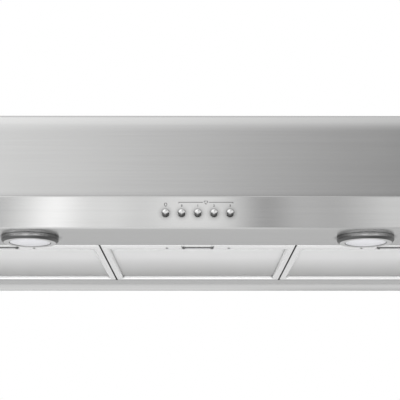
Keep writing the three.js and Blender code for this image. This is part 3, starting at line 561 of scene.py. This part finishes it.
def make_front_panel():
    path = rounded_path([
        (FRONT + LEAN + TOP_FLANGE, TOP, 0),
        (FRONT + LEAN, TOP, ROLL_RADIUS),
        (FRONT + LEDGE, UNDER + BAND, INNER_BEND),
        (FRONT, UNDER + BAND, BEND),
        (FRONT, UNDER, LOWER_BEND),
        (STRIP_END, UNDER, BEND),
        (STRIP_END, UNDER + STRIP_FLANGE, 0),
    ])
    bm = folded_sheet(path, SHEET, LEFT, RIGHT)
    panel = add_piece("front_panel_sheet", bm, STEEL_X, "hood_casing", ["front_panel"])
    cutters = []
    for name in BUTTONS:
        centre = middle(name)
        place = Vector((centre.x, FRONT + CUT / 2, centre.z))
        cutters.append(lathe(rod_profile(BUTTON_RADIUS + GAP, CUT), place, TO_FRONT))
    for side in SIDES:
        centre = middle(f"lamp_bezel_{side}")
        place = Vector((centre.x, centre.y, UNDER - CUT / 2))
        cutters.append(lathe(rod_profile(LAMP_HOLE, CUT), place))
    cut_holes(panel, cutters)


# ---- Buttons ----
BUTTON_OUT = 7 * MM           # how far the dome stands out of the band
DOME_HEIGHT = 4 * MM
COLLAR_RADIUS = 6.5 * MM
COLLAR_FRONT = -1.8 * MM      # places measured out of the band's face
COLLAR_BACK = -3.2 * MM
STEM_RADIUS = 3.5 * MM
STEM_END = -8 * MM


def make_button(name):
    centre = middle(name)
    dome_base = BUTTON_OUT - DOME_HEIGHT
    dome = []
    for k in range(DOME_STEPS + 1):
        a = math.pi / 2 * k / DOME_STEPS
        dome.append((BUTTON_RADIUS * math.cos(a), dome_base + DOME_HEIGHT * math.sin(a)))
    profile = [
        (0, STEM_END),
        (STEM_RADIUS, STEM_END),
        (STEM_RADIUS, COLLAR_BACK),
        (COLLAR_RADIUS, COLLAR_BACK),
        (COLLAR_RADIUS, COLLAR_FRONT),
        (BUTTON_RADIUS, COLLAR_FRONT),
        *dome,
    ]
    bm = lathe(profile, Vector((centre.x, FRONT, centre.z)), TO_FRONT, 64)
    add_piece(f"{name}_dome", bm, BUTTON_CHROME, f"push_{name}", [name])


# ---- Lamps ----
LENS_RADIUS = 28.1 * MM
LENS_RIM = 7.8 * MM           # drop of the glass at its edge
LENS_DROP = 11.2 * MM         # and in its middle
GLASS = 2 * MM                # its thickness
SKIRT_TOP = 2 * MM            # upper end of the glass, over the strip's face
BEZEL_OUTLINE = (             # (radius, height, corner radius) in millimetres
    (28.6, -8.0, 0),
    (29.2, -8.4, 0.3),
    (36.8, -8.4, 2.4),
    (40, -5.2, 3.0),
    (40, -0.3, 0),
    (31.4, -0.3, 0),
    (31.4, 6, 0),
    (28.6, 6, 0),
)


def dome_arc(radius, rim, height):
    """Points from the lowest middle of a dome out to its rim."""
    sphere = (radius ** 2 + height ** 2) / (2 * height)
    rim_angle = math.asin(radius / sphere)
    angles = [rim_angle * k / DOME_STEPS for k in range(DOME_STEPS + 1)]
    return [(sphere * math.sin(a), -rim - height + sphere * (1 - math.cos(a))) for a in angles]


def make_lamp(side):
    centre = middle(f"lamp_bezel_{side}")
    place = Vector((centre.x, centre.y, UNDER))
    body = f"lamp_cover_{side}"
    bezel = rounded_profile(BEZEL_OUTLINE)
    bezel.append(bezel[0])
    ring = lathe(bezel, place)
    add_piece(f"lamp_bezel_{side}_ring", ring, BEZEL, body, [f"lamp_bezel_{side}"])
    height = LENS_DROP - LENS_RIM
    outside = dome_arc(LENS_RADIUS, LENS_RIM, height)
    inside = dome_arc(LENS_RADIUS - GLASS, LENS_RIM - GLASS, height)[::-1]
    skirt = [(LENS_RADIUS, SKIRT_TOP), (LENS_RADIUS - GLASS, SKIRT_TOP)]
    lens = lathe(outside + skirt + inside, place)
    add_piece(f"lamp_lens_{side}_dome", lens, LENS, body, [f"lamp_lens_{side}"])


# ---- Filters ----
RIM = 10 * MM                 # flat border at the sides and rear of the mesh
FRONT_BAND = 34 * MM          # and at its front
RECESS = 6 * MM               # from the rim up to the mesh
LEDGE_HEIGHT = 9.4 * MM       # from the rim up to the ledge that covers the mesh's edge
INNER_LEDGE = 6 * MM          # from the rim's inner edge to the end of that ledge
RIM_SLOPE = 1.5 * MM
RIM_BEND = 1.5 * MM
OUTER_BEND = 1.2 * MM
FRAME_HEIGHT = 12 * MM
FRAME_CORNER = 4 * MM
INNER_CORNER = 0.6 * MM
FILTER_DEPTH = 346 * MM

MESH_PITCH = 3.2 * MM
MESH_CORNER = 2 * MM
STRAND_TILT = 0.25 * MM       # rise and fall of a strand at an opening
PACK_GAP = 1.2 * MM           # between the expanded sheet and the pack over it
PACK_THICKNESS = 1.8 * MM

TAB_OFFSET = 70 * MM          # from the filter's middle
TAB_OUT = 3 * MM              # middle of a tab, behind the frame
TAB_HALF_WIDTH = 12 * MM
TAB_HALF_DEPTH = 6 * MM
TAB_THICKNESS = 2 * MM
TAB_CORNER = 2 * MM
TAB_EDGE = 0.4 * MM

RIVET_OFFSET = 46 * MM        # from the filter's middle
RIVET_PLACE = 22 * MM         # behind its front edge
# Outlines of (radius, height, corner radius) in millimetres
RIVET_OUTLINE = ((0, -1.2, 0), (1.6, -1.2, 0.8), (1.6, 0.5, 0), (0, 0.5, 0))
PIN_OUTLINE = ((0, -2.2, 0), (2.2, -2.2, 0.7), (2.2, 6, 0), (0, 6, 0))

SLOT_FRONT = 2 * MM           # ends of the latch's slot, behind the filter's front edge
SLOT_REAR = 28 * MM
SLOT_CORNER = 2.5 * MM
SLOT_PLAY = 1 * MM            # beside the latch
LATCH_HALF_WIDTH = 23 * MM
LATCH_LIFT = 0.1 * MM         # of the finger plate over the rim
LATCH_CURL = 18.5 * MM        # end of the plate, behind the filter's front edge
CURL_DEPTH = 2 * MM
CURL_HEIGHT = 6 * MM
CURL_BEND = 1.8 * MM
PIN_RADIUS = 2.2 * MM
PIN_SETBACK = 1 * MM          # of a pin's middle behind the curl
WIRE_RADIUS = 0.9 * MM


def frame_ring(centre, half_width, half_depth, profile):
    """A closed (inset, height) profile carried round a rounded rectangle, wider along the front."""
    bm = bmesh.new()
    loops = []
    for inset, height in profile:
        radius = max(FRAME_CORNER - inset, INNER_CORNER)
        extra = (FRONT_BAND - RIM) / 2 if inset > RIM / 2 else 0
        place = centre + Vector((0, extra))
        outline = rounded_rectangle(place, half_width - inset, half_depth - inset - extra, radius)
        loops.append([bm.verts.new((p.x, p.y, height)) for p in outline])
    count = len(loops[0])
    for i, loop in enumerate(loops):
        following = loops[(i + 1) % len(loops)]
        for k in range(count):
            j = (k + 1) % count
            bm.faces.new((loop[k], loop[j], following[j], following[k]))
    bmesh.ops.recalc_face_normals(bm, faces=bm.faces)
    return bm


def slot_cutter(x, front):
    """The opening in a filter's front rim that the latch slides in."""
    centre = Vector((x, front + (SLOT_FRONT + SLOT_REAR) / 2))
    half_depth = (SLOT_REAR - SLOT_FRONT) / 2
    outline = rounded_rectangle(centre, LATCH_HALF_WIDTH + SLOT_PLAY, half_depth, SLOT_CORNER)
    return prism(outline, UNDER - CUT / 2, UNDER + 2 * CUT)


def make_filter_frame(side, x, front):
    """The folded frame with its latch slot, and the rear tabs and front rivets on it."""
    body = f"filter_{side}"
    low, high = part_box(f"filter_frame_{side}")
    half_width = (high.x - low.x) / 2
    centre = Vector((x, front + FILTER_DEPTH / 2))
    corners = [
        (0, FRAME_HEIGHT, 0),
        (0, 0, OUTER_BEND),
        (RIM, 0, RIM_BEND),
        (RIM + RIM_SLOPE, LEDGE_HEIGHT, 0),
        (RIM + INNER_LEDGE, LEDGE_HEIGHT, 0),
        (RIM + INNER_LEDGE, FRAME_HEIGHT, 0),
    ]
    profile = [(p.x, UNDER + p.y) for p in rounded_path(corners, math.radians(15))]
    ring = frame_ring(centre, half_width, FILTER_DEPTH / 2, profile)
    node = f"filter_frame_{side}"
    frame_piece = add_piece(f"filter_{side}_frame", ring, FILTER_METAL, body, [node])
    cut_holes(frame_piece, [slot_cutter(x, front)])

    tabs = bmesh.new()
    tab_low = UNDER + SHEET + GAP
    for sign in (-1, 1):
        place = Vector((x + sign * TAB_OFFSET, front + FILTER_DEPTH + TAB_OUT))
        shape = rounded_rectangle(place, TAB_HALF_WIDTH, TAB_HALF_DEPTH, TAB_CORNER)
        join(tabs, prism(shape, tab_low, tab_low + TAB_THICKNESS, TAB_EDGE))
    add_piece(f"filter_{side}_tabs", tabs, FILTER_METAL, body)

    rivets = bmesh.new()
    for sign in (-1, 1):
        place = Vector((x + sign * RIVET_OFFSET, front + RIVET_PLACE, UNDER))
        join(rivets, lathe(rounded_profile(RIVET_OUTLINE), place, sides=32))
    add_piece(f"filter_{side}_rivets", rivets, RIVET, body)


def make_filter_mesh(side):
    """Expanded metal: staggered diamond openings, strands slightly proud, over a denser pack."""
    low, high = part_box(f"filter_mesh_{side}")
    level = UNDER + RECESS
    across = int((high.x - low.x) / MESH_PITCH)
    along = int((high.y - low.y) / MESH_PITCH)
    step_x = (high.x - low.x) / across
    step_y = (high.y - low.y) / along
    half_wide = 0.22 * step_x
    half_deep = 0.33 * step_y
    bm = bmesh.new()
    corners = {}

    def corner(i, j):
        if (i, j) not in corners:
            corners[i, j] = bm.verts.new((low.x + i * step_x, low.y + j * step_y, level))
        return corners[i, j]

    for j in range(along):
        stagger = 0.25 if j % 2 else 0.75
        for i in range(across):
            x = low.x + (i + stagger) * step_x
            y = low.y + (j + 0.5) * step_y
            outer = (corner(i, j), corner(i + 1, j), corner(i + 1, j + 1), corner(i, j + 1))
            inner = (
                bm.verts.new((x, y - half_deep, level + STRAND_TILT)),
                bm.verts.new((x + half_wide, y, level)),
                bm.verts.new((x, y + half_deep, level - STRAND_TILT)),
                bm.verts.new((x - half_wide, y, level)),
            )
            for k in range(4):
                following = (k + 1) % 4
                bm.faces.new((outer[k], outer[following], inner[k]))
                bm.faces.new((inner[k], outer[following], inner[following]))
    body = f"filter_{side}"
    add_piece(f"filter_{side}_mesh", bm, FILTER_MESH, body, [f"filter_mesh_{side}"])

    centre = (Vector(low.xy) + Vector(high.xy)) / 2
    outline = rounded_rectangle(centre, (high.x - low.x) / 2, (high.y - low.y) / 2, MESH_CORNER)
    pack = prism(outline, level + PACK_GAP, level + PACK_GAP + PACK_THICKNESS)
    add_piece(f"filter_{side}_pack", pack, FILTER_MESH, body)


def make_filter_latch(side, x, front):
    """A finger plate that curls up at its rear end, in front of two pins with a pull wire between them."""
    path = rounded_path([
        (front + SLOT_FRONT + GAP, UNDER + LATCH_LIFT, 0),
        (front + LATCH_CURL - CURL_DEPTH, UNDER + LATCH_LIFT, CURL_BEND),
        (front + LATCH_CURL, UNDER + CURL_HEIGHT, 0),
    ], math.radians(10))
    plate = folded_sheet(path, SHEET, x - LATCH_HALF_WIDTH, x + LATCH_HALF_WIDTH)
    body = f"latch_{side}"
    add_piece(f"latch_{side}_scoop", plate, FILTER_METAL, body, [f"filter_latch_{side}"])
    pin_y = front + LATCH_CURL + PIN_SETBACK
    reach = 2 * (LATCH_HALF_WIDTH - PIN_RADIUS)
    pins = bmesh.new()
    for sign in (-1, 1):
        place = Vector((x + sign * reach / 2, pin_y, UNDER))
        join(pins, lathe(rounded_profile(PIN_OUTLINE), place, sides=32))
    start = Vector((x - reach / 2, pin_y, UNDER))
    join(pins, lathe(rod_profile(WIRE_RADIUS, reach), start, TO_RIGHT, 24))
    add_piece(f"latch_{side}_pins", pins, RIVET, body)


def make_filter(side):
    low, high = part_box(f"filter_frame_{side}")
    x = (low.x + high.x) / 2
    make_filter_frame(side, x, low.y)
    make_filter_mesh(side)
    make_filter_latch(side, x, low.y)


# ---- Strip at the wall ----
LIP_SETBACK = 4 * MM          # from the back panel
LIP_SLOPE = 14 * MM
LIP_BEND = 50 * MM


def make_rear_rail():
    low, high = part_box("rear_rail")
    lip_end = BACK - SHEET - GAP - LIP_SETBACK
    path = rounded_path([
        (low.y, UNDER, 0),
        (lip_end - LIP_SLOPE, UNDER, LIP_BEND),
        (lip_end, LIP_FOOT, 0),
    ])
    bm = folded_sheet(path, SHEET, low.x, high.x)
    add_piece("rear_rail_sheet", bm, STEEL_X, "hood_casing", ["rear_rail"])


# ---- Signs over the buttons: a lamp, a nought and three speeds under a bracket with a fan ----
SIGN_ROW = 10.2 * MM          # above the buttons' middle
SIGN_SIZE = 4.2 * MM
LINE = 0.7 * MM               # width of a drawn line
STROKE_GROWTH = 0.08 * MM     # thickens the figures
INK_LIFT = 0.06 * MM          # of the ink off the band

BRACKET_ROW = 15.0 * MM
BRACKET_REACH = 4 * MM        # past the middle of its first and last button
BRACKET_DROP = 1.5 * MM       # turned-down ends
FAN_ROOM = 4 * MM             # half the gap in the bracket
FAN_RADIUS = 1.4 * MM
FAN_TURN = 0.5                # angles in radians
BLADE_RADIUS = 1.1 * MM
BLADE_BEFORE = 2.2
BLADE_AFTER = 1.4

LAMP_RISE = 1.0 * MM          # of the lamp sign over the figures
BULB_RADIUS = 1.8 * MM
BULB_RISE = 0.9 * MM
CAP_HALF_WIDTH = 1.2 * MM
CAP_DROP = 1.6 * MM


def flat_strip(points, width):
    """A ribbon in the (x, z) plane along the points."""
    bm = bmesh.new()
    pairs = []
    last = len(points) - 1
    for i, point in enumerate(points):
        step = (points[min(i + 1, last)] - points[max(i - 1, 0)]).normalized()
        side = Vector((-step.y, step.x)) * width / 2
        pairs.append([bm.verts.new((p.x, 0, p.y)) for p in (point - side, point + side)])
    for start, end in zip(pairs, pairs[1:]):
        bm.faces.new((start[0], end[0], end[1], start[1]))
    return bm


def arc_points(x, z, radius, first, last, steps=20):
    return [
        Vector((x + radius * math.cos(a), z + radius * math.sin(a)))
        for a in (first + (last - first) * k / steps for k in range(steps + 1))
    ]


def lamp_sign(x, z):
    glass = arc_points(x, z + BULB_RISE, BULB_RADIUS, math.radians(-60), math.radians(240))
    cap = [Vector((x + sign * CAP_HALF_WIDTH, z - CAP_DROP)) for sign in (-1, 1)]
    return join(flat_strip(glass, LINE), flat_strip(cap, LINE))


def fan_sign(x, z):
    bm = bmesh.new()
    for k in range(3):
        a = 2 * math.pi * k / 3 + FAN_TURN
        hub = Vector((x + FAN_RADIUS * math.cos(a), z + FAN_RADIUS * math.sin(a)))
        blade = arc_points(hub.x, hub.y, BLADE_RADIUS, a - BLADE_BEFORE, a + BLADE_AFTER)
        join(bm, flat_strip(blade, LINE))
    return bm


def numeral(text, x, z):
    curve = bpy.data.curves.new("numeral", "FONT")
    curve.body = text
    curve.size = SIGN_SIZE
    curve.offset = STROKE_GROWTH
    curve.align_x = "CENTER"
    curve.align_y = "CENTER"
    holder = bpy.data.objects.new("numeral", curve)
    bpy.context.scene.collection.objects.link(holder)
    bpy.context.view_layer.update()
    graph = bpy.context.evaluated_depsgraph_get()
    mesh = bpy.data.meshes.new_from_object(holder.evaluated_get(graph))
    bpy.data.objects.remove(holder)
    bm = bmesh.new()
    bm.from_mesh(mesh)
    bpy.data.meshes.remove(mesh)
    bm.transform(Matrix.Translation((x, 0, z)) @ TO_FRONT.to_4x4())
    return bm


def make_signs():
    centres = [middle(name) for name in BUTTONS]
    row = centres[0].z + SIGN_ROW
    top = centres[0].z + BRACKET_ROW
    signs = lamp_sign(centres[0].x, row + LAMP_RISE)
    for centre, text in zip(centres[1:], "0123"):
        join(signs, numeral(text, centre.x, row))
    left = centres[1].x - BRACKET_REACH
    right = centres[-1].x + BRACKET_REACH
    fan_x = (left + right) / 2
    drop = Vector((0, -BRACKET_DROP))
    for end, gap in ((left, fan_x - FAN_ROOM), (right, fan_x + FAN_ROOM)):
        corner = Vector((end, top))
        level_line = flat_strip([Vector((gap, top)), corner], LINE)
        join(signs, level_line, flat_strip([corner, corner + drop], LINE))
    join(signs, fan_sign(fan_x, top))
    signs.transform(Matrix.Translation((0, FRONT - INK_LIFT, 0)))
    bmesh.ops.recalc_face_normals(signs, faces=signs.faces)
    add_piece("control_signs", signs, INK, "hood_casing")


# ---- Looks of the CAD nodes that stay ----
FOLDED_SLOTS = ("steel", "zinc", "cast_aluminium", "black_plastic")
EDGE_ROUND = 0.25 * MM


def dress_cad_nodes():
    slots = {part["node"]: part["material_slot"] for part in frame["record"]["subparts"]}
    for name, node in frame["nodes"].items():
        look = NODE_LOOKS.get(name, SLOT_LOOKS[slots[name]])
        for slot in node.material_slots:
            slot.material = look
        if slots[name] in FOLDED_SLOTS:
            bevel = node.modifiers.new("rounded_edges", "BEVEL")
            bevel.width = EDGE_ROUND
            bevel.segments = 2
            bevel.limit_method = "ANGLE"
            bevel.angle_limit = math.radians(40)


# ---- Camera, light and floor ----
CAMERA_AHEAD = 1.385          # in front of the band
CAMERA_BELOW = 0.273          # below the underside
CAMERA_TILT = math.radians(12.7)
CAMERA_YAW = math.radians(-0.12)
CAMERA_LENS = 94.4
FLOOR_REACH = 20              # half its side
FLOOR_DROP = 3.6
CARD_REACH = 12
CARD_BACK = 7.5               # its middle, behind the hood
CARD_DROP = 2.4
CARD_NEAR = 1.25              # its brightness on the camera's side
CARD_FAR = 0.53
CARD_RIGHT = 0.55             # part of it that is left at the front right
FILL_SIZE = (2.4, 0.8)
FILL_POWER = 38
FILL_AHEAD = 1.5
FILL_BELOW = 0.9

# Brightness of the studio's parts; pairs run from left to right
UPPER = (1.07, 0.41)
CEILING = (1.32, 0.90)
UPPER_BEHIND = 0.66
LEVEL_BEHIND = 0.35
BELOW = 0.53
# Studio strips seen in the upright steel: (degrees to the right of straight ahead, brightness)
STRIPS = (
    (-11.25, 0.66), (-10.0, 1.10), (-8.1, 1.75), (-6.0, 1.16), (-4.9, 1.22), (-3.2, 1.02),
    (-1.5, 1.21), (1.4, 1.20), (2.5, 0.84), (3.6, 0.47), (5.7, 0.77), (7.8, 0.67),
    (9.3, 0.84), (10.4, 1.02), (11.25, 1.03),
)
STRIP_SCALE = 2.0             # a colour ramp stops at 1, so it holds brightness divided by this


def add_camera():
    data = bpy.data.cameras.new("camera")
    data.lens = CAMERA_LENS
    data.sensor_width = 36
    camera = bpy.data.objects.new("camera", data)
    camera.location = (0, FRONT - CAMERA_AHEAD, UNDER - CAMERA_BELOW)
    camera.rotation_euler = (math.pi / 2 + CAMERA_TILT, 0, CAMERA_YAW)
    bpy.context.scene.collection.objects.link(camera)
    bpy.context.scene.camera = camera


def add_sheet(name, reach, place):
    """A flat level square of the studio, and the graph of its material."""
    bm = bmesh.new()
    bmesh.ops.create_grid(bm, size=reach)
    mesh = bpy.data.meshes.new(name)
    bm.to_mesh(mesh)
    bm.free()
    sheet = bpy.data.objects.new(name, mesh)
    sheet.location = place
    bpy.context.scene.collection.objects.link(sheet)
    material, graph = new_material(name)
    mesh.materials.append(material)
    return sheet, graph


def add_floor():
    _, graph = add_sheet("studio_floor", FLOOR_REACH, (0, 0, -FLOOR_DROP))
    graph.surface({"Base Color": (*grey(0.8), 1), "Roughness": 0.9})


def add_card():
    """A bright sheet under the hood that only reflections see; it dims to the rear and the front right."""
    card, graph = add_sheet("low_card", CARD_REACH, (0, CARD_BACK, -CARD_DROP))
    card.visible_camera = False
    card.visible_diffuse = False
    card.visible_shadow = False
    point = graph.node("ShaderNodeNewGeometry").outputs["Position"]
    x, y, _ = graph.node("ShaderNodeSeparateXYZ", {0: point}).outputs
    side = graph.spread(x, 0.0, 0.6, 1.0, CARD_RIGHT, smooth=True)
    behind = graph.spread(y, 0.3, 2.0, 0.0, 1.0)
    level = graph.spread(y, -2.0, 9.0, CARD_NEAR, CARD_FAR)
    strength = graph.math("MULTIPLY", level, graph.blend(behind, side, 1.0))
    graph.surface({
        "Base Color": (*grey(0), 1),
        "Emission Color": (*grey(1), 1),
        "Emission Strength": strength,
    })


def add_fill():
    """A soft light beside the camera, thrown up on the underside."""
    data = bpy.data.lights.new("fill", "AREA")
    data.shape = "RECTANGLE"
    data.size, data.size_y = FILL_SIZE
    data.energy = FILL_POWER
    fill = bpy.data.objects.new("fill", data)
    fill.location = (0, FRONT - FILL_AHEAD, UNDER - FILL_BELOW)
    aim = Vector((0, 0, UNDER)) - fill.location
    fill.rotation_euler = aim.to_track_quat("-Z", "Y").to_euler()
    fill.visible_glossy = False
    fill.visible_camera = False
    bpy.context.scene.collection.objects.link(fill)


def add_studio():
    """A white studio whose soft strips stand all round, below a smooth upper half and a bright ceiling."""
    world = bpy.data.worlds.new("studio")
    world.use_nodes = True
    bpy.context.scene.world = world
    graph = Graph(world.node_tree)
    direction = graph.node("ShaderNodeTexCoord").outputs["Generated"]
    x, y, z = graph.node("ShaderNodeSeparateXYZ", {0: direction}).outputs
    bearing = graph.math("DEGREES", graph.math("ARCTAN2", x, graph.math("MULTIPLY", y, -1.0)))
    height = graph.math("DEGREES", graph.math("ARCSINE", z))

    reach = STRIPS[-1][0]
    shifted = graph.math("ADD", bearing, reach)
    folded = graph.math("PINGPONG", shifted, 2 * reach)
    ramp = graph.node("ShaderNodeValToRGB", {0: graph.math("DIVIDE", folded, 2 * reach)})
    ramp.color_ramp.interpolation = "EASE"
    stops = ramp.color_ramp.elements
    stops.remove(stops[1])
    for i, (degrees, brightness) in enumerate(STRIPS):
        place = (degrees + reach) / (2 * reach)
        stop = stops[0] if i == 0 else stops.new(place)
        stop.position = place
        stop.color = (*grey(brightness / STRIP_SCALE), 1)
    strips = graph.math("MULTIPLY", ramp.outputs[0], STRIP_SCALE)

    upper = graph.spread(x, -0.2, 0.2, *UPPER)
    ceiling = graph.spread(x, -0.2, 0.2, *CEILING)
    front_half = graph.blend(graph.spread(y, -0.76, 0.0, 0.0, 1.0), upper, ceiling)
    rear = graph.spread(y, 0.5, 0.8, 0.0, 1.0)
    above = graph.blend(rear, front_half, UPPER_BEHIND)
    around = graph.blend(rear, strips, LEVEL_BEHIND)
    low_or_high = graph.spread(height, 20.0, 38.0, 0.0, 1.0, smooth=True)
    level_or_up = graph.blend(low_or_high, around, above)
    below = graph.spread(height, -4.0, -1.0, 1.0, 0.0)
    light = graph.blend(below, level_or_up, BELOW)
    seen = graph.node("ShaderNodeLightPath").outputs["Is Camera Ray"]
    strength = graph.blend(seen, light, 1.0)
    background = graph.node("ShaderNodeBackground", {"Color": (1, 1, 1, 1), "Strength": strength})
    graph.node("ShaderNodeOutputWorld", {"Surface": background.outputs[0]})


add_camera()
add_floor()
add_card()
add_fill()
add_studio()
bpy.context.scene.view_settings.view_transform = "Standard"

dress_cad_nodes()
make_front_panel()
for button in BUTTONS:
    make_button(button)
for lamp_side in SIDES:
    make_lamp(lamp_side)
for filter_side in FILTERS:
    make_filter(filter_side)
make_rear_rail()
make_signs()
